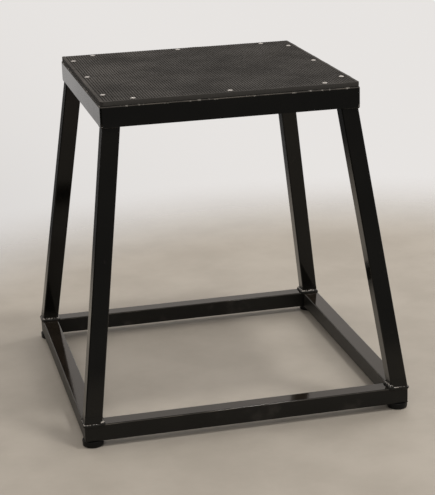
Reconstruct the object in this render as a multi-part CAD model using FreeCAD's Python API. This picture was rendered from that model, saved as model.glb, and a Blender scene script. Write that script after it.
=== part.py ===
import FreeCAD, Part
import math
import os

# Plyometric jump box: an open frame of welded square tube under a folded steel top with a riveted rubber mat.
# Millimetres. +X is to the right of a person who faces the front, +Y runs to the rear and +Z is up.
# The origin is on the floor, under the middle of the box.

Vector = FreeCAD.Vector
os.makedirs("parts", exist_ok=True)

# Overall sizes
base_side = 609.6                # outside of the square floor frame
top_side = 473.0                 # outside of the square steel top
deck_height = 605.0              # floor to the upper face of the steel top

# Square tube of the legs and the floor frame
tube_side = 31.75
tube_wall = 2.1
tube_corner = 2.2                # outside radius along the tube's four edges

# Folded steel top
sheet = 3.0
skirt_height = 38.1
fold_inside = 0.6                # inside radius of the four folds
seam_outside = 4.2               # outside radius of the upright corners, where the skirts are welded
seam_taper_height = 7.0          # the corner welds run out towards their lower ends
seam_taper_depth = 2.6
fold_outside = fold_inside + sheet

# Angle stiffeners under the top
stiffener_side = 25.4
stiffener_thickness = 3.2
stiffener_distance = 160.0       # between the upright flanges of the two angles
stiffener_end_gap = 4.0          # from each end to the inside of the skirt

# Rubber mat, ribbed from front to rear
mat_thickness = 8.0              # underside to the crests of the ribs
mat_inset = 2.0                  # mat edge inside the outer face of the skirt
mat_corner = 5.0
rib_pitch = 5.0
rib_height = 1.5
rib_crest_share = 0.52           # flat crest, share of the pitch
rib_root_share = 0.24            # flat groove, share of the pitch

# Blind rivets that hold the mat
rivet_inset = 16.0               # from the outer face of the skirt
rivet_corner_distance = 62.0     # from the corner of the top to the nearest rivet along an edge
rivet_shank_radius = 2.4
rivet_head_radius = 4.75
rivet_head_height = 1.8
rivet_head_rim = 0.5             # straight edge under the dome
rivet_crown_share = 0.5          # flat crown, share of the head's radius
rivet_blind_radius = 3.5
rivet_blind_length = 5.0

# Rubber feet and their fasteners
foot_height = 11.5
foot_top_radius = 19.4
foot_floor_radius = 17.6
foot_edge = 2.0                  # bevel where the foot meets the floor
foot_web = 4.5                   # rubber between the screw's washer and the frame
foot_recess_radius = 8.0
screw_radius = 2.4
screw_head_across = 8.0          # between opposite flats of the hexagon
screw_head_height = 3.2
screw_reach = 9.0                # tapping screw, above the underside of the frame tube
washer_radius = 7.2
washer_thickness = 1.2

# Welds
base_weld_leg = 4.5              # fillet round the foot of each leg
base_weld_proud = 1.0            # crown of the groove weld on the outer faces
lip_weld_drop = 4.5              # fillet from the skirt's lower edge down the leg
lip_weld_setback = 0.4           # inside the outer face of the skirt
deck_weld_leg = 4.0              # fillet between leg and underside of the top
stitch_weld_leg = 3.0
stitch_weld_length = 38.0
stitch_weld_pitch = 150.0
stitch_weld_count = 3

# Facets of the round pieces and of the screw heads
small_facet_count = 12           # rivets, screw shanks, washers and small holes
foot_facet_count = 40
head_facet_count = 6

# Fits
leg_gap = 0.2                    # between the leg and the inside of the skirt
rivet_clearance = 0.15
screw_clearance = 0.3
thread_clearance = 0.1
cut_overrun = 10.0               # how far a cutting tool passes the material

# Levels and places that follow from the sizes above
rail_top = foot_height + tube_side
deck_underside = deck_height - sheet
skirt_bottom = deck_height - skirt_height
mat_top = deck_height + mat_thickness
mat_side = top_side - 2 * mat_inset
foot_centre = (base_side - tube_side) / 2
rivet_line = top_side / 2 - rivet_inset
rivet_reach = top_side / 2 - rivet_corner_distance

# Splay of the legs, the same to the side and to the front or rear
leg_outside_below = base_side / 2
leg_outside_above = top_side / 2 - sheet - leg_gap
leg_slope = (leg_outside_below - leg_outside_above) / (skirt_bottom - rail_top)
leg_tilt = math.atan(leg_slope * math.sqrt(2))
leg_half_diagonal = tube_side / 2 / math.cos(leg_tilt)

QUARTER = 90
CORNERS = ("front_left", "front_right", "rear_right", "rear_left")
SIDES = ("front", "right", "rear", "left")


def turned(shape, quarters):
    """A copy turned about the box's upright middle line."""
    copy = shape.copy()
    copy.rotate(Vector(0, 0, 0), Vector(0, 0, 1), QUARTER * quarters)
    return copy


def at_places(shape, places):
    """A copy of a shape at each place."""
    copies = []
    for place in places:
        copies.append(shape.copy())
        copies[-1].translate(place)
    return copies


def box(low, high):
    """A block between two opposite corners."""
    return Part.makeBox(high[0] - low[0], high[1] - low[1], high[2] - low[2], Vector(*low))


def upright_edges(shape):
    """The edges that rise more than they run."""
    boxes = [(edge, edge.BoundBox) for edge in shape.Edges]
    return [edge for edge, reach in boxes if reach.ZLength > reach.XLength + reach.YLength]


def upper_edges(shape):
    """The edges round the highest face."""
    return max(shape.Faces, key=lambda face: face.CenterOfMass.z).Edges


def rounded_bar(side, corner, low, high):
    """An upright square bar with rounded corners, centred on the Z axis."""
    bar = box((-side / 2, -side / 2, low), (side / 2, side / 2, high))
    return bar.makeFillet(corner, upright_edges(bar))


def square_tube(low, high):
    """An upright length of the frame's square tube, centred on the Z axis."""
    bore = tube_side / 2 - tube_wall
    hollow = box((-bore, -bore, low - cut_overrun), (bore, bore, high + cut_overrun))
    return rounded_bar(tube_side, tube_corner, low, high).cut(hollow)


def flat_face(points):
    """The flat face inside a closed polygon."""
    return Part.Face(Part.makePolygon(list(points) + [points[0]]))


def prism(points, direction):
    """A closed polygon drawn out along a direction."""
    return flat_face(points).extrude(direction)


def tapered_block(lower, upper):
    """A solid with flat sides between two level polygons whose edges are parallel in pairs."""
    faces = [flat_face(lower), flat_face(upper)]
    for corner in range(len(lower)):
        faces.append(flat_face([lower[corner - 1], lower[corner], upper[corner], upper[corner - 1]]))
    shell = Part.makeShell(faces)
    shell.sewShape()
    block = Part.makeSolid(shell)
    if block.Volume < 0:
        block.reverse()
    return block


def facets(sides, radius, level):
    """The corners of a regular polygon round the Z axis."""
    angles = [2 * math.pi * side / sides for side in range(sides)]
    return [Vector(radius * math.cos(angle), radius * math.sin(angle), level) for angle in angles]


def faceted_cone(sides, low, high):
    """A faceted cone or cylinder between two (radius, level) pairs."""
    return tapered_block(facets(sides, *low), facets(sides, *high))


def small_round(radius, low, high):
    """A small upright cylinder with few facets."""
    return faceted_cone(small_facet_count, (radius, low), (radius, high))


def corner_bead(points, length, corner_at):
    """A bead with a (inset, height) section, run along both outer faces of the front left corner."""
    start = Vector(-corner_at, -corner_at, 0)
    along_front = [start + Vector(0, inset, height) for inset, height in points]
    along_left = [start + Vector(inset, 0, height) for inset, height in points]
    nearest = min(inset for inset, height in points)
    front = prism(along_front, Vector(length - nearest, 0, 0))
    front.translate(Vector(nearest, 0, 0))
    left = prism(along_left, Vector(0, length - nearest, 0))
    left.translate(Vector(0, nearest, 0))
    return front.fuse(left)


def leg_bar(bar):
    """Lean an upright bar to the front left leg's line; its axis passes the right points at every level."""
    leaned = bar.copy()
    leaned.rotate(Vector(0, 0, 0), Vector(-1, 1, 0), math.degrees(leg_tilt))
    axis_at = leg_half_diagonal - leg_outside_below
    leaned.translate(Vector(axis_at, axis_at, rail_top))
    return leaned


def level_slice(shape, low, high):
    """The part of a shape between two levels."""
    return shape.common(box((-base_side, -base_side, low), (base_side, base_side, high)))


# Length of tube that reaches past both cut ends of a leg
leg_stock_below = -tube_side
leg_stock_above = deck_height
leg_tube = level_slice(leg_bar(square_tube(leg_stock_below, leg_stock_above)), rail_top, deck_underside)
leg_core = leg_bar(rounded_bar(tube_side, tube_corner, leg_stock_below, leg_stock_above))


def foot_places():
    return [Vector(x * foot_centre, y * foot_centre, 0) for x, y in ((-1, -1), (1, -1), (1, 1), (-1, 1))]


def rivet_places():
    """Three rivets along each edge of the top."""
    front = [Vector(x, -rivet_line, 0) for x in (-rivet_reach, 0, rivet_reach)]
    turn = FreeCAD.Rotation(Vector(0, 0, 1), QUARTER)
    places = []
    for quarter in range(len(SIDES)):
        places += front
        front = [turn.multVec(place) for place in front]
    return places


def floor_rails():
    """Four tubes mitred into a square, drilled for the feet's screws and grooved for the corner welds."""
    rail = square_tube(-base_side / 2, base_side / 2)
    rail.rotate(Vector(0, 0, 0), Vector(0, 1, 0), QUARTER)
    rail.translate(Vector(0, -foot_centre, foot_height + tube_side / 2))
    reach = base_side / 2 + cut_overrun
    mitre = [Vector(0, 0, 0), Vector(-reach, -reach, 0), Vector(reach, -reach, 0)]
    rail = rail.common(prism(mitre, Vector(0, 0, rail_top)))
    pilot = Part.makeCylinder(screw_radius + thread_clearance, foot_height + tube_side / 2)
    rail = rail.cut(at_places(pilot, foot_places()))
    for quarter in range(len(CORNERS)):
        rail = rail.cut(turned(corner_weld_groove(), quarter))
    return {"base_rail_" + side: turned(rail, quarter) for quarter, side in enumerate(SIDES)}


def corner_weld_groove():
    """The square groove down the outer edge of the front left mitre."""
    outer = -base_side / 2
    inner = outer + tube_wall
    return box((outer, outer, foot_height + tube_corner), (inner, inner, rail_top - tube_corner))


def floor_corner_welds():
    """Weld metal that fills each groove to a rounded edge."""
    inner = tube_wall - base_side / 2
    height = tube_side - 2 * tube_corner
    column = Part.makeCylinder(tube_wall, height, Vector(inner, inner, foot_height + tube_corner))
    weld = column.common(corner_weld_groove())
    return Part.makeCompound([turned(weld, quarter) for quarter in range(len(CORNERS))])


def legs():
    """Four tubes that splay both ways, cut level at both ends."""
    return {"leg_" + corner: turned(leg_tube, quarter) for quarter, corner in enumerate(CORNERS)}


def leg_base_welds(rails):
    """A bead round the foot of each leg: fillets on the rails inside, groove welds on the outer faces."""
    outside = leg_outside_below + base_weld_proud
    inside = leg_outside_below - tube_side - base_weld_leg
    rise = leg_slope * base_weld_leg
    foot_ring = [Vector(x, y, rail_top) for x, y in
                 ((-outside, -outside), (-inside, -outside), (-inside, -inside), (-outside, -inside))]
    upper_outside = leg_outside_below - rise
    upper_inside = leg_outside_below - tube_side - rise
    leg_ring = [Vector(x, y, rail_top + base_weld_leg) for x, y in
                ((-upper_outside, -upper_outside), (-upper_inside, -upper_outside),
                 (-upper_inside, -upper_inside), (-upper_outside, -upper_inside))]
    fillet = tapered_block(foot_ring, leg_ring)
    groove = corner_bead([(-base_weld_proud, rail_top), (0, rail_top - tube_corner), (tube_corner, rail_top)],
                         tube_side, leg_outside_below)
    envelope = rounded_bar(base_side + 2 * base_weld_proud, tube_corner, 0, deck_height)
    above = fillet.cut(leg_core)
    weld = above.fuse(groove.cut(rails)).common(envelope).removeSplitter()
    return Part.makeCompound([turned(weld, quarter) for quarter in range(len(CORNERS))])


def leg_top_welds():
    """A bead under the skirt's lower edge outside, and a fillet inside against the top's underside."""
    face_at = sheet + leg_gap
    section = [(lip_weld_setback, skirt_bottom), (face_at + tube_corner, skirt_bottom),
               (face_at + tube_corner, skirt_bottom - lip_weld_drop),
               (face_at - leg_slope * lip_weld_drop, skirt_bottom - lip_weld_drop)]
    lip = corner_bead(section, face_at + tube_side - tube_corner, top_side / 2)
    envelope = rounded_bar(top_side - 2 * lip_weld_setback, seam_outside, 0, deck_height)
    lip = lip.cut(leg_core).common(envelope)
    # Inside faces of the leg at the underside of the top
    inner = leg_outside_below - leg_slope * (deck_underside - rail_top) - tube_side
    section = [(0, deck_underside), (deck_weld_leg, deck_underside), (0, deck_underside - deck_weld_leg)]
    back = leg_half_diagonal
    along_x = prism([Vector(-inner - back, -inner + out, height) for out, height in section],
                    Vector(back + deck_weld_leg, 0, 0))
    along_y = prism([Vector(-inner + out, -inner - back, height) for out, height in section],
                    Vector(0, back + deck_weld_leg, 0))
    under = [side.cut(leg_core) for side in (along_x, along_y)]
    fillet = under[0].fuse(under[1]).removeSplitter()
    welds = []
    for quarter in range(len(CORNERS)):
        welds += [turned(lip, quarter), turned(fillet, quarter)]
    return Part.makeCompound(welds)


def tray_shell():
    """The folded top with closed upright corners, before the seams are cut and the rivet holes drilled."""
    outer = rounded_bar(top_side, seam_outside, skirt_bottom, deck_height)
    outer = outer.makeFillet(fold_outside, upper_edges(outer))
    inside = top_side / 2 - sheet
    inner = box((-inside, -inside, skirt_bottom - cut_overrun), (inside, inside, deck_underside))
    inner = inner.makeFillet(fold_inside, upper_edges(inner))
    return outer.cut(inner)


def tray_seam():
    """The space at the front left upright corner where two skirts meet."""
    outer = -top_side / 2
    inner = outer + seam_outside
    return box((outer, outer, skirt_bottom), (inner, inner, deck_height - fold_outside))


def top_tray(shell):
    """One sheet folded down on four sides, open at the upright corners and drilled for the rivets."""
    tray = shell
    for quarter in range(len(CORNERS)):
        tray = tray.cut(turned(tray_seam(), quarter))
    return tray.cut(rivet_holes())


def tray_corner_welds(shell):
    """Weld metal that closes the upright corners, ground round and run out at the lower end."""
    weld = shell.common(tray_seam()).cut(tray_seam_taper())
    return Part.makeCompound([turned(weld, quarter) for quarter in range(len(CORNERS))])


def tray_seam_taper():
    """The wedge outside the slanting lower end of the front left corner weld."""
    inwards = Vector(1, 1, 0).normalize()
    across = Vector(1, -1, 0).normalize()
    round_at = seam_outside * (math.sqrt(2) - 1)
    start = skirt_bottom + seam_taper_height
    section = [(round_at, start), (round_at + seam_taper_depth, skirt_bottom),
               (round_at - cut_overrun, skirt_bottom), (round_at - cut_overrun, start)]
    corner = Vector(-top_side / 2, -top_side / 2, 0) - across * cut_overrun
    return prism([corner + inwards * run + Vector(0, 0, level) for run, level in section],
                 across * (2 * cut_overrun))


def deck_stiffeners():
    """Two angles under the top, running front to rear, with their upright flanges outwards."""
    half_length = top_side / 2 - sheet - stiffener_end_gap
    heel = stiffener_distance / 2
    toe = heel - stiffener_side
    low = deck_underside - stiffener_side
    flange = deck_underside - stiffener_thickness
    section = [(heel, deck_underside), (toe, deck_underside), (toe, flange),
               (heel - stiffener_thickness, flange), (heel - stiffener_thickness, low), (heel, low)]
    right = prism([Vector(x, -half_length, z) for x, z in section], Vector(0, 2 * half_length, 0))
    return {"deck_stiffener_left": turned(right, 2), "deck_stiffener_right": right}


def stiffener_welds():
    """Short fillets along both edges of each angle."""
    heel = stiffener_distance / 2
    toe = heel - stiffener_side
    middle = (stitch_weld_count - 1) / 2
    welds = []
    for edge, away in ((heel, stitch_weld_leg), (toe, -stitch_weld_leg)):
        for stitch in range(stitch_weld_count):
            start = (stitch - middle) * stitch_weld_pitch - stitch_weld_length / 2
            section = [Vector(edge, start, deck_underside), Vector(edge + away, start, deck_underside),
                       Vector(edge, start, deck_underside - stitch_weld_leg)]
            weld = prism(section, Vector(0, stitch_weld_length, 0))
            welds += [weld, turned(weld, 2)]
    return Part.makeCompound(welds)


def rubber_mat():
    """A sheet with flat-topped ribs from front to rear, rounded corners and holes for the rivets."""
    half = mat_side / 2
    count = int(mat_side / rib_pitch)
    root_level = mat_top - rib_height
    crest = rib_crest_share * rib_pitch / 2
    foot = (1 - rib_root_share) * rib_pitch / 2
    outline = [(half, deck_height), (-half, deck_height), (-half, mat_top)]
    for rib in range(count):
        middle = (rib - (count - 1) / 2) * rib_pitch
        if rib > 0:
            outline += [(middle - foot, root_level), (middle - crest, mat_top)]
        if rib < count - 1:
            outline += [(middle + crest, mat_top), (middle + foot, root_level)]
    outline += [(half, mat_top)]
    mat = prism([Vector(x, -half, z) for x, z in outline], Vector(0, mat_side, 0))
    mat = mat.common(rounded_bar(mat_side, mat_corner, deck_height, mat_top))
    return mat.cut(rivet_holes())


def rivet_holes():
    """Cutters for the holes through the mat and the sheet."""
    radius = rivet_shank_radius + rivet_clearance
    cutter = small_round(radius, deck_underside - cut_overrun, mat_top + cut_overrun)
    return at_places(cutter, rivet_places())


def mat_rivets():
    """Domed blind rivets: head on the mat, shank through mat and sheet, set end under the sheet."""
    rim = mat_top + rivet_head_rim
    blind_end = deck_underside - rivet_blind_length
    set_end = [(rivet_shank_radius, blind_end), (rivet_blind_radius, deck_underside)]
    shank = [(rivet_shank_radius, deck_underside), (rivet_shank_radius, mat_top)]
    head = [(rivet_head_radius, mat_top), (rivet_head_radius, rim)]
    crown = [(rivet_head_radius, rim), (rivet_crown_share * rivet_head_radius, mat_top + rivet_head_height)]
    solids = [faceted_cone(small_facet_count, *ends) for ends in (set_end, shank, head, crown)]
    rivet = solids[0].multiFuse(solids[1:]).removeSplitter()
    return Part.makeCompound(at_places(rivet, rivet_places()))


def feet():
    """Tapered rubber pucks with a bevelled lower edge, recessed from below for the screw."""
    hole = screw_radius + screw_clearance
    recess_top = foot_height - foot_web
    taper = (foot_top_radius - foot_floor_radius) / foot_height
    side_at_edge = foot_floor_radius + taper * foot_edge
    levels = [(foot_floor_radius - foot_edge, 0), (side_at_edge, foot_edge), (foot_top_radius, foot_height)]
    bevel = faceted_cone(foot_facet_count, levels[0], levels[1])
    puck = bevel.fuse(faceted_cone(foot_facet_count, levels[1], levels[2]))
    recess = small_round(foot_recess_radius, -cut_overrun, recess_top)
    foot = puck.cut([recess, small_round(hole, 0, foot_height + cut_overrun)])
    return {"foot_" + corner: solid for corner, solid in zip(CORNERS, at_places(foot, foot_places()))}


def foot_fasteners():
    """A washer and a hexagon-headed tapping screw for each foot."""
    recess_top = foot_height - foot_web
    washer_floor = recess_top - washer_thickness
    hole = screw_radius + screw_clearance
    hole_cutter = small_round(hole, washer_floor - cut_overrun, recess_top + cut_overrun)
    washer = small_round(washer_radius, washer_floor, recess_top).cut(hole_cutter)
    head_radius = screw_head_across / 2 / math.cos(math.pi / head_facet_count)
    head_floor = washer_floor - screw_head_height
    head = faceted_cone(head_facet_count, (head_radius, head_floor), (head_radius, washer_floor))
    shank = small_round(screw_radius, washer_floor, foot_height + screw_reach)
    screw = head.fuse(shank).removeSplitter()
    solids = {"foot_washers": washer, "foot_screws": screw}
    return {name: Part.makeCompound(at_places(solid, foot_places())) for name, solid in solids.items()}


def build():
    shell = tray_shell()
    rails = floor_rails()
    pieces = dict(rails)
    pieces["base_corner_welds"] = floor_corner_welds()
    pieces.update(legs())
    pieces["leg_base_welds"] = leg_base_welds(list(rails.values()))
    pieces["leg_top_welds"] = leg_top_welds()
    pieces["top_tray"] = top_tray(shell)
    pieces["tray_corner_welds"] = tray_corner_welds(shell)
    pieces.update(deck_stiffeners())
    pieces["stiffener_welds"] = stiffener_welds()
    pieces["rubber_mat"] = rubber_mat()
    pieces["mat_rivets"] = mat_rivets()
    pieces.update(feet())
    pieces.update(foot_fasteners())
    return pieces


for name, shape in build().items():
    shape.exportStep("parts/" + name + ".step")
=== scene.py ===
import math

import bpy
from mathutils import Matrix, Vector, noise


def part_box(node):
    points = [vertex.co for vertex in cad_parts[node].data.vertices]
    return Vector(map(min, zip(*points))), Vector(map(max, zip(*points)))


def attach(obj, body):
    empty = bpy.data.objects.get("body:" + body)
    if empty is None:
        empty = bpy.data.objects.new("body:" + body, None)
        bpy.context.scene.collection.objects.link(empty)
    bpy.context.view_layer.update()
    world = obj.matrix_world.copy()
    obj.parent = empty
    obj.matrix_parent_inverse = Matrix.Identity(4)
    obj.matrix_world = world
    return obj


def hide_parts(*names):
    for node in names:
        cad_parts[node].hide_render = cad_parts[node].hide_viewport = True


# Plyometric jump box: finishes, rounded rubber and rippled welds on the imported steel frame.
# Metres. The axes are the frame's own: +X to the right, +Y to the rear and +Z up.

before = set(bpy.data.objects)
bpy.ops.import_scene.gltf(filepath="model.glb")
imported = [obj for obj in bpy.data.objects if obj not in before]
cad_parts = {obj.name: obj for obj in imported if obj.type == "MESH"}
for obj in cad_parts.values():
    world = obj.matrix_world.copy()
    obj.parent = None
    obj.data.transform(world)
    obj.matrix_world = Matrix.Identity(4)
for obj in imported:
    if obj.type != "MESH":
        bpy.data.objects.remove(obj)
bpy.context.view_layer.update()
scene = bpy.context.scene
MM = 0.001

# Camera that took the photo, found by fitting the box's edges
image_height = 495
camera_at = Vector((-0.63441, -2.83294, 1.16027))
camera_pan = 0.226614
camera_tilt = -0.301948
camera_roll = -0.031992
focal_pixels = 1545.687
sensor_long_side = 36.0

# Levels and half sizes that the frame gives
mat_low, mat_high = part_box("rubber_mat")
tray_low, tray_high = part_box("top_tray")
rail_low, rail_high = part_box("base_rail_front")
rail_half = rail_high.x
rail_top = rail_high.z
rail_floor = rail_low.z
tray_half = tray_high.x
skirt_bottom = tray_low.z
deck_top = tray_high.z
mat_half = mat_high.x
mat_top = mat_high.z

# Steel stock
sheet = 3.0 * MM
tube_side = rail_high.z - rail_low.z
tube_corner = 2.2 * MM
leg_gap = 0.2 * MM
deck_underside = deck_top - sheet

# Splay of the legs: outer faces at a level, the same to the side and to the front or rear
leg_outside_above = tray_half - sheet - leg_gap
leg_slope = (rail_half - leg_outside_above) / (skirt_bottom - rail_top)


def leg_outside(level):
    """Distance of the legs' outer faces from the middle planes of the box."""
    return rail_half - leg_slope * (level - rail_top)


# Ribbed mat
rib_pitch = 5.0 * MM
rib_height = 1.5 * MM
# Share of a groove's depth that is lost at the mat's front and rear ends
rib_run_out = 0.7
# One groove and the half crests beside it: (share of the pitch from the groove, share of the height down)
groove_shares = ((-0.5, 0.0), (-0.29, 0.03), (-0.25, 0.14), (-0.20, 0.5), (-0.16, 0.88),
                 (0.0, 1.0), (0.16, 0.88), (0.20, 0.5), (0.25, 0.14), (0.29, 0.03))
mat_corner = 5.0 * MM
mat_edge_round = 0.9 * MM
# Middle of the rounded edge's arc, inwards and down
mat_edge_bend = 0.3 * mat_edge_round
mat_edge_lift = 0.9 * MM
mat_edge_wander = 0.5 * MM
mat_edge_spread = 0.9 * MM
mat_edge_reach = 7.0 * MM
mat_edge_fade = 4.0 * MM
mat_undulation = 0.12 * MM
mat_station_step = 11.0 * MM
mat_fine_step = 2.0 * MM
mat_least_step = 0.1 * MM
mat_wave_length = 55.0 * MM
mat_ripple_length = 17.0 * MM
mat_undulations_per_metre = 14
dimple_depth = 0.5 * MM
dimple_radius = 7.5 * MM
# How far from a rivet and from an edge the mat has fine steps
rivet_fine_reach = 1.4 * dimple_radius
edge_fine_reach = 2 * mat_edge_reach

# Blind rivets
rivet_inset = 16.0 * MM
rivet_corner_distance = 62.0 * MM
rivet_line = tray_half - rivet_inset
rivet_reach = tray_half - rivet_corner_distance
rivet_head_radius = 4.75 * MM
rivet_head_height = 1.8 * MM
rivet_rim = 0.35 * MM
rivet_edge = 0.15 * MM
rivet_eye_radius = 1.6 * MM
rivet_eye_depth = 0.9 * MM
rivet_eye_lip_radius = 0.9 * rivet_eye_radius
rivet_eye_floor_radius = 0.85 * rivet_eye_radius
rivet_pin_radius = 0.3 * rivet_eye_radius
rivet_pin_rise = 0.1 * MM
rivet_shank_radius = 2.4 * MM
rivet_blind_radius = 3.5 * MM
rivet_blind_length = 5.0 * MM
rivet_blind_tip = 0.6 * MM
rivet_blind_tip_radius = 0.6 * rivet_eye_radius
rivet_blind_gap = 0.2 * MM
rivet_sides = 28

# Feet and their fasteners
foot_centre = rail_half - tube_side / 2
foot_height = rail_floor
foot_top_radius = 19.4 * MM
foot_side_radius = 19.0 * MM
foot_edge = 2.4 * MM
foot_top_round = 0.8 * MM
foot_recess_round = 0.6 * MM
foot_recess_radius = 8.0 * MM
foot_web = 4.5 * MM
foot_hole_radius = 2.7 * MM
foot_sides = 72
screw_radius = 2.4 * MM
screw_head_across = 8.0 * MM
screw_head_height = 3.2 * MM
screw_head_chamfer = 0.5 * MM
screw_face_inside = 0.3 * screw_head_across
screw_face_outside = 0.46 * screw_head_across
screw_chamfer_share = 0.99
screw_reach = 9.0 * MM
screw_tip_radius = 0.4 * MM
screw_sides = 48
washer_radius = 7.2 * MM
washer_thickness = 1.2 * MM
washer_edge = 0.25 * MM
washer_sides = 40

# Weld beads; a size is the reach outwards and the reach to each side
flush_size = (2.4 * MM, 3.4 * MM)
fillet_size = (6.0 * MM, 6.2 * MM)
top_size = (2.2 * MM, 2.6 * MM)
flush_drop = 0.8 * MM
flush_lean = 0.15
fillet_rise = 0.3 * MM
top_drop = 0.3 * MM
top_sink = 0.6 * MM
stitch_drop = 0.2 * MM
corner_step = 0.7 * tube_corner
ripple_pitch = 2.7 * MM
ripple_depth_share = 0.06
lump_length = 7.0 * MM
lump_share = 0.30
ripple_bend_share = 0.55
bead_step = 0.45 * MM
bead_end = 3.5 * MM
bead_end_least = 0.02
bead_sides = 14
bead_crease = 60.0

# Stiffeners' stitch welds
stiffener_low, stiffener_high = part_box("deck_stiffener_right")
stitch_length = 38.0 * MM
stitch_pitch = 150.0 * MM
stitch_leg = 3.0 * MM
stitch_size = (0.75 * stitch_leg, 0.9 * stitch_leg)

FULL = 2 * math.pi
CORNER_SIGNS = ((-1, -1), (1, -1), (1, 1), (-1, 1))
LEFT = Vector((-1, 0, 0))
FRONT = Vector((0, -1, 0))
UP = Vector((0, 0, 1))


# Node helpers

def new_material(name):
    material = bpy.data.materials.new(name)
    material.use_nodes = True
    tree = material.node_tree
    return material, tree, tree.nodes["Principled BSDF"]


def add_node(tree, kind, settings=None, **inputs):
    """A node with its settings, and with its inputs given as values or as other nodes' outputs."""
    node = tree.nodes.new(kind)
    for key, value in (settings or {}).items():
        setattr(node, key, value)
    for key, value in inputs.items():
        socket = node.inputs[int(key[1:])] if key[0] == "_" and key[1:].isdigit() else node.inputs[key]
        if isinstance(value, bpy.types.NodeSocket):
            tree.links.new(value, socket)
        else:
            socket.default_value = value
    return node


def object_point(tree):
    return add_node(tree, "ShaderNodeTexCoord").outputs["Object"]


def height_of(tree, vector):
    return add_node(tree, "ShaderNodeSeparateXYZ", Vector=vector).outputs["Z"]


def upward_share(tree, normal="Normal"):
    """How far a face looks up: 1 for a level face, 0 for an upright one."""
    return height_of(tree, add_node(tree, "ShaderNodeNewGeometry").outputs[normal])


def noise_value(tree, point, scale, detail=2.0, roughness=0.5):
    node = add_node(tree, "ShaderNodeTexNoise", Vector=point, Scale=scale, Detail=detail, Roughness=roughness)
    return node.outputs["Fac"]


def remap(tree, value, low, high, to_low=0.0, to_high=1.0):
    """A value carried smoothly from one range to another and held at its ends."""
    settings = {"interpolation_type": "SMOOTHSTEP"}
    node = add_node(tree, "ShaderNodeMapRange", settings, _0=value, _1=low, _2=high, _3=to_low, _4=to_high)
    return node.outputs["Result"]


def product(tree, first, second):
    node = add_node(tree, "ShaderNodeMath", {"operation": "MULTIPLY"}, _0=first, _1=second)
    return node.outputs["Value"]


def product_sum(tree, first, second, third):
    """The first times the second, plus the third."""
    node = add_node(tree, "ShaderNodeMath", {"operation": "MULTIPLY_ADD"}, _0=first, _1=second, _2=third)
    return node.outputs["Value"]


def mixed(tree, share, first, second):
    """A colour between two colours."""
    node = add_node(tree, "ShaderNodeMix", {"data_type": "RGBA"}, _0=share, _6=first, _7=second)
    return node.outputs[2]


def bumped(tree, shader, height, strength, distance):
    node = add_node(tree, "ShaderNodeBump", Strength=strength, Distance=distance, Height=height)
    tree.links.new(node.outputs["Normal"], shader.inputs["Normal"])


# Materials

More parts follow.
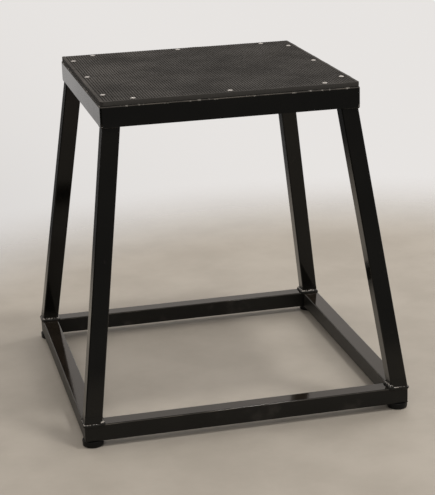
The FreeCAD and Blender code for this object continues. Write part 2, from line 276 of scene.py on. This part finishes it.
def powder_coat(name, edge_highlight_colour, highlight_grain, highlight_least, highlight_slopes, dust_slopes):
    """Glossy black powder coat: orange peel, clouds, scuffs, dust on level faces, and painted edge
    highlights.

    Slopes are upward shares of a face: the painted highlight lies between the second and the third of the
    highlight's slopes, and dust lies from the second of dust_slopes on. The grain is the fineness of the
    highlight's patches, and the least share is how strong the highlight is between them.
    """
    deep_black = (0.0048, 0.0047, 0.0038, 1)
    thin_black = (0.0072, 0.0070, 0.0058, 1)
    scuff_grey = (0.022, 0.021, 0.018, 1)
    smudge_grey = (0.022, 0.0205, 0.0175, 1)
    dust_brown = (0.018, 0.0140, 0.0104, 1)
    pale_chip_and_highlight = (0.30, 0.29, 0.27, 1)
    scuff_share = 0.5
    fold_dulling = 0.5
    scuff_dulling = 0.14
    low_side_dulling = 0.36
    material, tree, shader = new_material(name)
    point = object_point(tree)
    height = height_of(tree, point)
    upward = upward_share(tree)
    # Black with scuffs, and smudges on the floor frame
    clouds = noise_value(tree, point, scale=7.0, detail=5.0, roughness=0.6)
    scuffs = noise_value(tree, point, scale=38.0, detail=8.0, roughness=0.72)
    scuffed = remap(tree, scuffs, 0.62, 0.74)
    black = mixed(tree, remap(tree, clouds, 0.35, 0.7), deep_black, thin_black)
    marked = mixed(tree, product(tree, scuffed, scuff_share), black, scuff_grey)
    near_floor = remap(tree, height, rail_top, rail_top + tube_side, 1.0, 0.0)
    blots = noise_value(tree, point, scale=13.0, detail=4.0, roughness=0.6)
    smudges = product(tree, near_floor, remap(tree, blots, 0.54, 0.68))
    smudged = mixed(tree, smudges, marked, smudge_grey)
    # Dust on level faces, and a painted highlight in patches along the sloping edges beside them
    dusty = product(tree, remap(tree, upward, *dust_slopes), remap(tree, clouds, 0.25, 0.7, 0.4, 1.0))
    dusted = mixed(tree, dusty, smudged, dust_brown)
    from_side, to_side, from_top, to_top = highlight_slopes
    above_side = remap(tree, upward, from_side, to_side)
    sloping = product(tree, above_side, remap(tree, upward, from_top, to_top, 1.0, 0.0))
    highlight_noise = noise_value(tree, point, scale=highlight_grain, detail=4.0, roughness=0.6)
    patches = remap(tree, highlight_noise, 0.48, 0.60, highlight_least, 1.0)
    highlighted = mixed(tree, product(tree, sloping, patches), dusted, edge_highlight_colour)
    # Pale chips along the fold of the top, which also stand in as the fold's painted highlight
    near_deck = remap(tree, height, deck_top - 5 * MM, deck_top - 2 * MM)
    on_fold = product(tree, near_deck, remap(tree, upward, 0.02, 0.15))
    fold_fleck_noise = noise_value(tree, point, scale=60.0, detail=4.0, roughness=0.65)
    chips_and_fold_highlight = remap(tree, fold_fleck_noise, 0.55, 0.63)
    colour = mixed(tree, product(tree, on_fold, chips_and_fold_highlight), highlighted, pale_chip_and_highlight)
    tree.links.new(colour, shader.inputs["Base Color"])
    # Gloss, dulled by scuffs, on the fold and on the sides of the floor frame
    gloss = remap(tree, clouds, 0.3, 0.7, 0.05, 0.09)
    scuffed_gloss = product_sum(tree, scuffed, scuff_dulling, gloss)
    rough = product_sum(tree, on_fold, fold_dulling, scuffed_gloss)
    low_side = product(tree, near_floor, remap(tree, upward, 0.3, 0.6, 1.0, 0.0))
    kicked = product_sum(tree, low_side, low_side_dulling, rough)
    tree.links.new(kicked, shader.inputs["Roughness"])
    shader.inputs["IOR"].default_value = 1.35
    orange_peel = noise_value(tree, point, scale=520.0, detail=1.5, roughness=0.4)
    bumped(tree, shader, orange_peel, strength=0.06, distance=0.3 * MM)
    return material


def mat_rubber():
    """Ribbed rubber: dark grooves, crests greyed by shoes, a fine grain, and painted light and shade on the
    left ribs.
    """
    groove_black = (0.0045, 0.0040, 0.0034, 1)
    groove_shaded_left = (0.0020, 0.0018, 0.0015, 1)
    crest_grey = (0.0285, 0.0256, 0.0222, 1)
    crest_worn_and_lit_left = (0.047, 0.0425, 0.037, 1)
    cut_edge = (0.040, 0.0385, 0.0355, 1)
    material, tree, shader = new_material("mat_rubber")
    point = object_point(tree)
    across, _, height = add_node(tree, "ShaderNodeSeparateXYZ", Vector=point).outputs
    crest = remap(tree, height, mat_top - rib_height, mat_top - 0.1 * rib_height)
    smears = noise_value(tree, point, scale=11.0, detail=6.0, roughness=0.62)
    grain = noise_value(tree, point, scale=900.0, detail=3.0, roughness=0.6)
    worn = product(tree, crest, remap(tree, smears, 0.3, 0.72, 0.35, 1.0))
    # Left of the middle the crests are painted paler and the grooves darker, as light and shade on the ribs
    left_light_and_shade = remap(tree, across, -0.13, -0.04, 1.0, 0.0)
    dark = mixed(tree, left_light_and_shade, groove_black, groove_shaded_left)
    pale = mixed(tree, left_light_and_shade, crest_grey, crest_worn_and_lit_left)
    face = mixed(tree, worn, dark, pale)
    rubber = mixed(tree, remap(tree, upward_share(tree, "True Normal"), 0.2, 0.6), cut_edge, face)
    tree.links.new(rubber, shader.inputs["Base Color"])
    tree.links.new(remap(tree, smears, 0.3, 0.7, 0.74, 0.58), shader.inputs["Roughness"])
    shader.inputs["IOR"].default_value = 1.38
    bumped(tree, shader, grain, strength=0.35, distance=0.2 * MM)
    return material


def foot_rubber():
    """Moulded black rubber with a fine grain and floor dust round its lower edge."""
    black = (0.002, 0.002, 0.0018, 1)
    dust_grey = (0.010, 0.0092, 0.0080, 1)
    material, tree, shader = new_material("foot_rubber")
    point = object_point(tree)
    speckle = noise_value(tree, point, scale=240.0, detail=5.0, roughness=0.6)
    low = remap(tree, height_of(tree, point), 0.0, foot_height * 0.6, 1.0, 0.0)
    dust = product(tree, low, remap(tree, speckle, 0.4, 0.7))
    colour = mixed(tree, dust, black, dust_grey)
    tree.links.new(colour, shader.inputs["Base Color"])
    tree.links.new(remap(tree, speckle, 0.3, 0.7, 0.42, 0.6), shader.inputs["Roughness"])
    shader.inputs["IOR"].default_value = 1.3
    grain = noise_value(tree, point, scale=1500.0)
    bumped(tree, shader, grain, strength=0.25, distance=0.2 * MM)
    return material


def bare_metal(name, colour, darker, roughness_low, roughness_high):
    """Bright metal with fine marks and slight dulling."""
    material, tree, shader = new_material(name)
    point = object_point(tree)
    blotch = noise_value(tree, point, scale=420.0, detail=4.0, roughness=0.6)
    tree.links.new(mixed(tree, remap(tree, blotch, 0.35, 0.7), colour, darker), shader.inputs["Base Color"])
    tree.links.new(remap(tree, blotch, 0.3, 0.7, roughness_low, roughness_high), shader.inputs["Roughness"])
    shader.inputs["Metallic"].default_value = 1.0
    marks = noise_value(tree, point, scale=2600.0)
    bumped(tree, shader, marks, strength=0.12, distance=0.1 * MM)
    return material


# On the frame the pale edge patches are a painted highlight along the rounded upper edges
coat = powder_coat("black_powder_coat", edge_highlight_colour=(0.115, 0.105, 0.09, 1), highlight_grain=14.0, highlight_least=0.45,
                   highlight_slopes=(0.22, 0.36, 0.58, 0.72), dust_slopes=(0.95, 0.995))
# On the welds the pale patches are painted glints: white specks of highlight along the beads' upper sides
weld_coat = powder_coat("black_powder_coat_on_welds", edge_highlight_colour=(0.50, 0.48, 0.45, 1), highlight_grain=260.0,
                        highlight_least=0.0, highlight_slopes=(0.48, 0.74, 0.90, 0.99), dust_slopes=(0.6, 0.95))
mat_finish = mat_rubber()
foot_finish = foot_rubber()
aluminium = bare_metal("rivet_aluminium", (0.74, 0.73, 0.71, 1), (0.46, 0.45, 0.44, 1), 0.20, 0.34)
zinc = bare_metal("zinc_plated_steel", (0.62, 0.62, 0.60, 1), (0.42, 0.42, 0.40, 1), 0.25, 0.45)


# Mesh helpers

def add_piece(name, points, faces, finish, nodes, crease=40.0):
    """A mesh that stands for CAD nodes and rides on the box."""
    mesh = bpy.data.meshes.new(name)
    mesh.from_pydata(points, [], faces)
    mesh.validate()
    mesh.shade_smooth()
    mesh.set_sharp_from_angle(angle=math.radians(crease))
    mesh.materials.append(finish)
    piece = bpy.data.objects.new(name, mesh)
    scene.collection.objects.link(piece)
    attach(piece, "root")
    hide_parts(*nodes)
    return piece


class Mesh:
    """Points and faces that are gathered for one piece."""

    def __init__(self):
        self.points = []
        self.faces = []

    def add(self, points, faces):
        first = len(self.points)
        self.points += points
        self.faces += [[first + corner for corner in face] for face in faces]

    def add_rings(self, rings, closed=False):
        """Rings of equally many points, joined in order; the end rings are capped unless closed."""
        sides = len(rings[0])
        points = [point for ring in rings for point in ring]
        faces = []
        for ring in range(len(rings) - (0 if closed else 1)):
            near = ring * sides
            far = (ring + 1) % len(rings) * sides
            for side in range(sides):
                after = (side + 1) % sides
                faces.append([near + side, near + after, far + after, far + side])
        if not closed:
            faces.append(list(range(sides))[::-1])
            faces.append([len(points) - sides + side for side in range(sides)])
        self.add(points, faces)


def lathe_rings(profile, sides, centre, shape=None):
    """Rings of (radius, level) about an upright axis; shape gives a radius limit by angle."""
    rings = []
    for radius, level in profile:
        ring = []
        for side in range(sides):
            angle = FULL * side / sides
            reach = min(radius, shape(angle)) if shape else radius
            across = centre.x + reach * math.cos(angle)
            along = centre.y + reach * math.sin(angle)
            ring.append(Vector((across, along, level)))
        rings.append(ring)
    return rings


def arc_profile(centre, radius, start, end, steps):
    """Points of an arc in (radius, level), between two angles in degrees."""
    points = []
    for step in range(steps + 1):
        angle = math.radians(start + (end - start) * step / steps)
        points.append((centre[0] + radius * math.cos(angle), centre[1] + radius * math.sin(angle)))
    return points


def corner_turn(quarter):
    """Turns what belongs to the front left corner to another corner."""
    return Matrix.Rotation(quarter * math.pi / 2, 3, "Z")


# Rubber mat

def rivet_places():
    front = [Vector((x, -rivet_line, 0)) for x in (-rivet_reach, 0, rivet_reach)]
    return [corner_turn(quarter) @ place for quarter in range(4) for place in front]


def mat_columns():
    """Across the mat: (x, depth below the crests)."""
    count = int(2 * mat_half / rib_pitch + 0.001)
    first_groove = -(count - 2) / 2 * rib_pitch
    columns = [(-mat_half, mat_edge_round), (-mat_half + mat_edge_bend, mat_edge_bend),
               (-mat_half + mat_edge_round, 0)]
    for groove in range(count - 1):
        middle = first_groove + groove * rib_pitch
        for across, down in groove_shares:
            x = middle + across * rib_pitch
            if x > columns[-1][0] + mat_least_step:
                columns.append((x, down * rib_height))
    columns.append((-first_groove + rib_pitch / 2, 0))
    columns += [(-x, down) for x, down in columns[2::-1]]
    return columns


def mat_stations():
    """Along the mat: levels of y, close together at the edges and at the rivets."""
    stations = [-mat_half, -mat_half + mat_edge_bend, -mat_half + mat_edge_round]
    rows = (-rivet_line, -rivet_reach, 0.0, rivet_reach, rivet_line)
    y = stations[-1]
    while y < mat_half - mat_edge_round:
        near = min(abs(y + mat_fine_step - row) for row in rows) < rivet_fine_reach
        edge = mat_half - abs(y) < edge_fine_reach
        y += mat_fine_step if near or edge else mat_station_step
        stations.append(min(y, mat_half - mat_edge_round))
    return stations + [mat_half - mat_edge_bend, mat_half]


def edge_wave(along, side, seed):
    """A slow wander along one edge of the mat, from -1 to 1."""
    slow = noise.noise(Vector((along / mat_wave_length, side * 7.3, seed)))
    return slow + 0.5 * noise.noise(Vector((along / mat_ripple_length, side * 3.1, seed + 5.0)))


def mat_point(x, y, down, places):
    """A point of the mat's upper face, with its loose edges and the dimples at the rivets."""
    inset = mat_half - abs(y)
    if inset < mat_corner:
        drawn = mat_corner - math.sqrt(mat_corner ** 2 - (mat_corner - inset) ** 2)
        limit = mat_half - drawn
        x = max(-limit, min(limit, x))
    level = mat_top - down * (1 - rib_run_out * math.exp(-(inset / mat_edge_reach) ** 2))
    if inset < mat_edge_round:
        rounding = 1 - math.sqrt(max(0, 1 - (1 - inset / mat_edge_round) ** 2))
        level = min(level, mat_top - mat_edge_round * rounding)
    lift = 0.0
    drawn_in = []
    edges = ((mat_half - abs(x), y, math.copysign(1, x)), (inset, x, math.copysign(2, y)))
    for distance, along, side in edges:
        share = math.exp(-(distance / mat_edge_reach) ** 2)
        lift += share * mat_edge_lift * max(0.0, edge_wave(along, side, 1.0))
        wander = mat_edge_wander * edge_wave(along, side, 9.0) - mat_edge_spread
        drawn_in.append(math.exp(-distance / mat_edge_fade) * wander)
    x -= math.copysign(1, x) * drawn_in[0]
    y -= math.copysign(1, y) * drawn_in[1]
    dimple = 0.0
    for place in places:
        apart = math.hypot(x - place.x, y - place.y)
        if apart < 3 * dimple_radius:
            dimple = max(dimple, math.exp(-(apart / dimple_radius) ** 2))
    waves = mat_undulations_per_metre
    wave = mat_undulation * noise.noise(Vector((x * waves, y * waves, 2.0)))
    lift = min(lift, mat_edge_lift) * (1 - dimple)
    return Vector((x, y, level + lift - dimple_depth * dimple + wave)), lift


def build_mat():
    places = rivet_places()
    columns = mat_columns()
    stations = mat_stations()
    wide = len(columns)
    points = []
    lifts = []
    for y in stations:
        for x, down in columns:
            point, lift = mat_point(x, y, down, places)
            points.append(point)
            lifts.append(lift)
    faces = []
    for row in range(len(stations) - 1):
        for column in range(wide - 1):
            first = row * wide + column
            faces.append([first, first + 1, first + wide + 1, first + wide])
    # Walls: the rim in order, and a second rim at the underside
    last = (len(stations) - 1) * wide
    rim = list(range(wide)) + [row * wide + wide - 1 for row in range(1, len(stations))]
    rim += [last + column for column in range(wide - 2, -1, -1)]
    rim += [row * wide for row in range(len(stations) - 2, 0, -1)]
    below = len(points)
    for corner in rim:
        points.append(Vector((points[corner].x, points[corner].y, mat_low.z + lifts[corner])))
    for index in range(len(rim)):
        after = (index + 1) % len(rim)
        faces.append([rim[after], rim[index], below + index, below + after])
    faces.append([below + index for index in range(len(rim))][::-1])
    return add_piece("mat", points, faces, mat_finish, ["rubber_mat"], 50.0)


# Rivets, feet and fasteners

def build_rivets():
    """Domed heads with an open eye, and the set ends under the sheet."""
    head_at = mat_top - dimple_depth
    rise = rivet_head_height - rivet_rim
    dome_radius = (rivet_head_radius ** 2 + rise ** 2) / (2 * rise)
    middle = head_at + rivet_head_height - dome_radius
    rim_angle = math.degrees(math.acos(rivet_head_radius / dome_radius))
    eye_angle = math.degrees(math.acos(rivet_eye_radius / dome_radius))
    blind_end = deck_underside - rivet_blind_length
    profile = [(rivet_blind_tip_radius, blind_end - rivet_blind_tip), (rivet_shank_radius, blind_end)]
    profile += arc_profile((rivet_shank_radius, deck_underside - rivet_blind_length / 2),
                           rivet_blind_radius - rivet_shank_radius, -80, 80, 8)
    profile += [(rivet_shank_radius, deck_underside - rivet_blind_gap), (rivet_shank_radius, head_at)]
    profile += [(rivet_head_radius - rivet_edge, head_at), (rivet_head_radius, head_at + rivet_edge)]
    profile += arc_profile((0, middle), dome_radius, rim_angle, eye_angle, 8)
    eye_top = middle + dome_radius * math.sin(math.radians(eye_angle))
    eye_floor = eye_top - rivet_eye_depth
    profile += [(rivet_eye_lip_radius, eye_top - rivet_edge), (rivet_eye_floor_radius, eye_floor),
                (rivet_pin_radius, eye_floor + rivet_pin_rise)]
    mesh = Mesh()
    for place in rivet_places():
        mesh.add_rings(lathe_rings(profile, rivet_sides, place))
    add_piece("rivets", mesh.points, mesh.faces, aluminium, ["mat_rivets"], 35.0)


def foot_places():
    return [Vector((x * foot_centre, y * foot_centre, 0)) for x, y in CORNER_SIGNS]


def build_feet():
    """Tapered pucks with rounded rims, recessed from below."""
    recess_top = foot_height - foot_web
    top_inside = foot_top_radius - foot_top_round
    recess_outside = foot_recess_radius + foot_recess_round
    profile = [(foot_hole_radius, foot_height), (top_inside, foot_height)]
    profile += arc_profile((top_inside, foot_height - foot_top_round), foot_top_round, 75, 0, 4)
    profile += arc_profile((foot_side_radius - foot_edge, foot_edge), foot_edge, 0, -90, 8)
    profile += arc_profile((recess_outside, foot_recess_round), foot_recess_round, -90, -180, 4)
    profile += [(foot_recess_radius, recess_top), (foot_hole_radius, recess_top)]
    names = ("foot_front_left", "foot_front_right", "foot_rear_right", "foot_rear_left")
    for name, place in zip(names, foot_places()):
        mesh = Mesh()
        mesh.add_rings(lathe_rings(profile[::-1], foot_sides, place), closed=True)
        add_piece("rubber_" + name, mesh.points, mesh.faces, foot_finish, [name], 45.0)


def hexagon_limit(angle):
    """Radius of the screw head's outline at an angle."""
    sector = (angle + math.pi / 6) % (math.pi / 3) - math.pi / 6
    return screw_head_across / 2 / math.cos(sector)


def build_fasteners():
    """Hexagon-headed screws with chamfered heads, and washers with rolled edges."""
    washer_top = foot_height - foot_web
    washer_floor = washer_top - washer_thickness
    head_floor = washer_floor - screw_head_height
    corner_radius = screw_head_across / 2 / math.cos(math.pi / 6)
    head = [(screw_face_inside, head_floor), (screw_face_outside, head_floor),
            (corner_radius * screw_chamfer_share, head_floor + screw_head_chamfer),
            (corner_radius, washer_floor)]
    tip = foot_height + screw_reach
    shank = [(screw_radius, washer_floor), (screw_radius, tip - screw_radius), (screw_tip_radius, tip)]
    washer = [(foot_hole_radius, washer_floor), (washer_radius - washer_edge, washer_floor),
              (washer_radius, washer_floor + washer_edge), (washer_radius, washer_top - washer_edge),
              (washer_radius - washer_edge, washer_top), (foot_hole_radius, washer_top)]
    screws = Mesh()
    washers = Mesh()
    for place in foot_places():
        screws.add_rings(lathe_rings(head + shank, screw_sides, place, hexagon_limit))
        washers.add_rings(lathe_rings(washer, washer_sides, place), closed=True)
    add_piece("screws", screws.points, screws.faces, zinc, ["foot_screws"], 25.0)
    add_piece("washers", washers.points, washers.faces, zinc, ["foot_washers"], 35.0)


# Weld beads

def ripple(along, angle):
    """Overlapping crescents along a bead, from 0 in the valleys to 1."""
    scale = (along / ripple_pitch - ripple_bend_share * math.cos(angle)) % 1.0
    return 1 - (2 * scale - 1) ** 2


def bead_rings(stops, seed, loop=False):
    """Rings of a rippled bead along stops of (place, outward direction, reach out, reach to each side)."""
    runs = list(zip(stops, stops[1:] + stops[:1])) if loop else list(zip(stops, stops[1:]))
    lengths = [(after[0] - before[0]).length for before, after in runs]
    total = sum(lengths)
    rings = []
    travelled = 0.0
    for (before, after), length in zip(runs, lengths):
        steps = max(1, round(length / bead_step))
        for step in range(steps + (0 if loop or after is not stops[-1] else 1)):
            share = step / steps
            place = before[0].lerp(after[0], share)
            outward = before[1].lerp(after[1], share).normalized()
            sideways = (after[0] - before[0]).normalized().cross(outward).normalized()
            reach = before[2] + (after[2] - before[2]) * share
            spread = before[3] + (after[3] - before[3]) * share
            along = travelled + length * share
            end = 1.0 if loop else min(1.0, min(along, total - along) / bead_end)
            ease = math.sqrt(max(bead_end_least, 1 - (1 - end) ** 2))
            wander = 1 + lump_share * noise.noise(Vector((along / lump_length, seed, 0.5)))
            ring = []
            for side in range(bead_sides):
                angle = FULL * side / bead_sides
                size = ease * wander * (1 - ripple_depth_share * (1 - ripple(along, angle)))
                offset = outward * (reach * math.cos(angle)) + sideways * (spread * math.sin(angle))
                ring.append(place + offset * size)
            rings.append(ring)
        travelled += length
    return rings


def add_at_corners(mesh, stops, loop=False):
    """A bead that belongs to the front left corner, turned to all four."""
    for quarter in range(4):
        turn = corner_turn(quarter)
        turned = [(turn @ place, turn @ outward, reach, spread) for place, outward, reach, spread in stops]
        mesh.add_rings(bead_rings(turned, quarter * 3.7 + len(stops), loop), closed=loop)


def build_base_welds():
    """A bead round the foot of each leg: low on the outer faces, a full fillet on the rails."""
    outer = -leg_outside(rail_top)
    inner = outer + tube_side
    outer_end = outer + corner_step
    inner_end = inner - corner_step
    low = rail_top - flush_drop
    high = rail_top + fillet_rise
    front_in = (FRONT + flush_lean * UP).normalized()
    left_in = (LEFT + flush_lean * UP).normalized()
    right_up = (-LEFT + UP).normalized()
    rear_up = (-FRONT + UP).normalized()
    stops = [(Vector((outer_end, outer, low)), front_in, *flush_size),
             (Vector((inner_end, outer, low)), front_in, *flush_size),
             (Vector((inner, outer_end, high)), right_up, *fillet_size),
             (Vector((inner, inner_end, high)), right_up, *fillet_size),
             (Vector((inner_end, inner, high)), rear_up, *fillet_size),
             (Vector((outer_end, inner, high)), rear_up, *fillet_size),
             (Vector((outer, inner_end, low)), left_in, *flush_size),
             (Vector((outer, outer_end, low)), left_in, *flush_size)]
    mesh = Mesh()
    add_at_corners(mesh, stops, loop=True)
    add_piece("base_welds", mesh.points, mesh.faces, weld_coat, ["leg_base_welds"],
              bead_crease)


def build_top_welds():
    """A bead under the skirt's edge at each leg, and a fillet inside against the underside of the top."""
    mesh = Mesh()
    level = skirt_bottom - top_drop
    outer = -leg_outside(level) - top_sink
    inner = outer + tube_side - tube_corner
    front_down = (FRONT - UP).normalized()
    left_down = (LEFT - UP).normalized()
    corner = outer + 0.5 * tube_corner
    add_at_corners(mesh, [(Vector((inner, outer, level)), front_down, *top_size),
                          (Vector((corner, outer, level)), front_down, *top_size),
                          (Vector((outer, corner, level)), left_down, *top_size),
                          (Vector((outer, inner, level)), left_down, *top_size)])
    inner = -leg_outside(deck_underside) + tube_side
    outer = inner - tube_side + tube_corner
    corner = inner - 0.5 * tube_corner
    level = deck_underside - top_drop
    right_down = (-LEFT - UP).normalized()
    rear_down = (-FRONT - UP).normalized()
    add_at_corners(mesh, [(Vector((inner, outer, level)), right_down, *top_size),
                          (Vector((inner, corner, level)), right_down, *top_size),
                          (Vector((corner, inner, level)), rear_down, *top_size),
                          (Vector((outer, inner, level)), rear_down, *top_size)])
    add_piece("top_welds", mesh.points, mesh.faces, weld_coat, ["leg_top_welds"],
              bead_crease)


def build_stitch_welds():
    """Three short fillets along both edges of each stiffener."""
    mesh = Mesh()
    for sign in (-1, 1):
        for edge, away in ((stiffener_high.x, 1), (stiffener_low.x, -1)):
            for stitch in (-1, 0, 1):
                middle = Vector((sign * edge, stitch * stitch_pitch, deck_underside - stitch_drop))
                outward = Vector((sign * away, 0, -1)).normalized()
                half = Vector((0, stitch_length / 2, 0))
                stops = [(middle - half, outward, *stitch_size), (middle + half, outward, *stitch_size)]
                mesh.add_rings(bead_rings(stops, stitch + 5 * edge + away * sign))
    add_piece("stitch_welds", mesh.points, mesh.faces, weld_coat, ["stiffener_welds"],
              bead_crease)


# Studio

def build_floor():
    """A plain pale floor that fades into the backdrop away from the box."""
    reach = 3.2
    middle = Vector((0.30, -0.15, 0))
    solid_radius = 0.9
    clear_radius = 1.6
    pale_low = (0.40, 0.373, 0.328, 1)
    pale_high = (0.465, 0.437, 0.388, 1)
    data = bpy.data.meshes.new("floor")
    data.from_pydata([Vector((x * reach, y * reach, 0)) for x, y in CORNER_SIGNS], [], [[0, 1, 2, 3]])
    floor = bpy.data.objects.new("floor", data)
    scene.collection.objects.link(floor)
    material, tree, shader = new_material("floor")
    point = object_point(tree)
    away = add_node(tree, "ShaderNodeVectorMath", {"operation": "DISTANCE"}, _0=point, _1=middle)
    distance = away.outputs["Value"]
    mottle = noise_value(tree, point, scale=5.0, detail=5.0, roughness=0.6)
    pale = mixed(tree, remap(tree, mottle, 0.3, 0.7), pale_low, pale_high)
    tree.links.new(pale, shader.inputs["Base Color"])
    shader.inputs["Roughness"].default_value = 0.55
    below = add_node(tree, "ShaderNodeNewGeometry").outputs["Backfacing"]
    from_above = remap(tree, below, 0.0, 1.0, 1.0, 0.0)
    solid = product(tree, remap(tree, distance, solid_radius, clear_radius, 1.0, 0.0), from_above)
    tree.links.new(solid, shader.inputs["Alpha"])
    data.materials.append(material)


def build_world():
    """Soft light from overhead, and a pale backdrop behind the box that ends on its left."""
    pale_side = Vector((0.62, 0.55, 0.56)).normalized()
    low_white = (1.0, 0.97, 0.945, 1)
    high_white = (1.0, 0.925, 0.855, 1)
    side_strengths = (0.20, 0.80)
    left_strengths = (0.15, 1.0)
    overhead_strengths = (0.05, 0.74)
    left_end = (-0.175, -0.150)
    world = bpy.data.worlds.new("studio")
    scene.world = world
    world.use_nodes = True
    tree = world.node_tree
    background = tree.nodes["Background"]
    direction = add_node(tree, "ShaderNodeTexCoord").outputs["Generated"]
    facing = add_node(tree, "ShaderNodeVectorMath", {"operation": "DOT_PRODUCT"}, _0=direction, _1=pale_side)
    beside = remap(tree, facing.outputs["Value"], 0.0, 0.56, *side_strengths)
    across, _, height = add_node(tree, "ShaderNodeSeparateXYZ", Vector=direction).outputs
    backdrop = product(tree, beside, remap(tree, across, *left_end, *left_strengths))
    overhead = remap(tree, height, -0.02, 0.35, *overhead_strengths)
    strength = add_node(tree, "ShaderNodeMath", {"operation": "MAXIMUM"}, _0=backdrop, _1=overhead)
    tree.links.new(strength.outputs["Value"], background.inputs["Strength"])
    colour = mixed(tree, remap(tree, height, -0.1, 0.35), low_white, high_white)
    tree.links.new(colour, background.inputs["Color"])


def add_softbox(name, place, target, size, power):
    data = bpy.data.lights.new(name, "AREA")
    data.shape = "DISK"
    data.size = size
    data.energy = power
    data.color = (1.0, 0.95, 0.90)
    light = bpy.data.objects.new(name, data)
    light.location = place
    light.rotation_mode = "QUATERNION"
    light.rotation_quaternion = (target - place).to_track_quat("-Z", "Y")
    light.visible_camera = False
    scene.collection.objects.link(light)


def build_camera():
    level_forward = Vector((math.sin(camera_pan), math.cos(camera_pan), 0))
    forward = level_forward * math.cos(camera_tilt) + UP * math.sin(camera_tilt)
    level_right = Vector((math.cos(camera_pan), -math.sin(camera_pan), 0))
    level_up = level_right.cross(forward)
    right = level_right * math.cos(camera_roll) + level_up * math.sin(camera_roll)
    up = level_up * math.cos(camera_roll) - level_right * math.sin(camera_roll)
    data = bpy.data.cameras.new("camera")
    data.sensor_width = sensor_long_side
    data.lens = focal_pixels * sensor_long_side / image_height
    camera = bpy.data.objects.new("camera", data)
    turn = Matrix((right, up, -forward)).transposed()
    camera.matrix_world = Matrix.Translation(camera_at) @ turn.to_4x4()
    scene.collection.objects.link(camera)
    scene.camera = camera


# The scene: the CAD nodes get the coat, and the finer pieces stand for those that need more

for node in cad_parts.values():
    node.data.materials.clear()
    node.data.materials.append(coat)
build_mat()
build_rivets()
build_feet()
build_fasteners()
build_base_welds()
build_top_welds()
build_stitch_welds()
build_floor()
build_world()
middle_of_box = Vector((0, 0, 0.3))
add_softbox("key_light", Vector((2.8, 1.2, 2.3)), middle_of_box, size=1.6, power=22.0)
add_softbox("ceiling_light", Vector((0.75, -0.75, 3.2)), middle_of_box, size=0.35, power=24.0)
build_camera()
scene.view_settings.view_transform = "Standard"
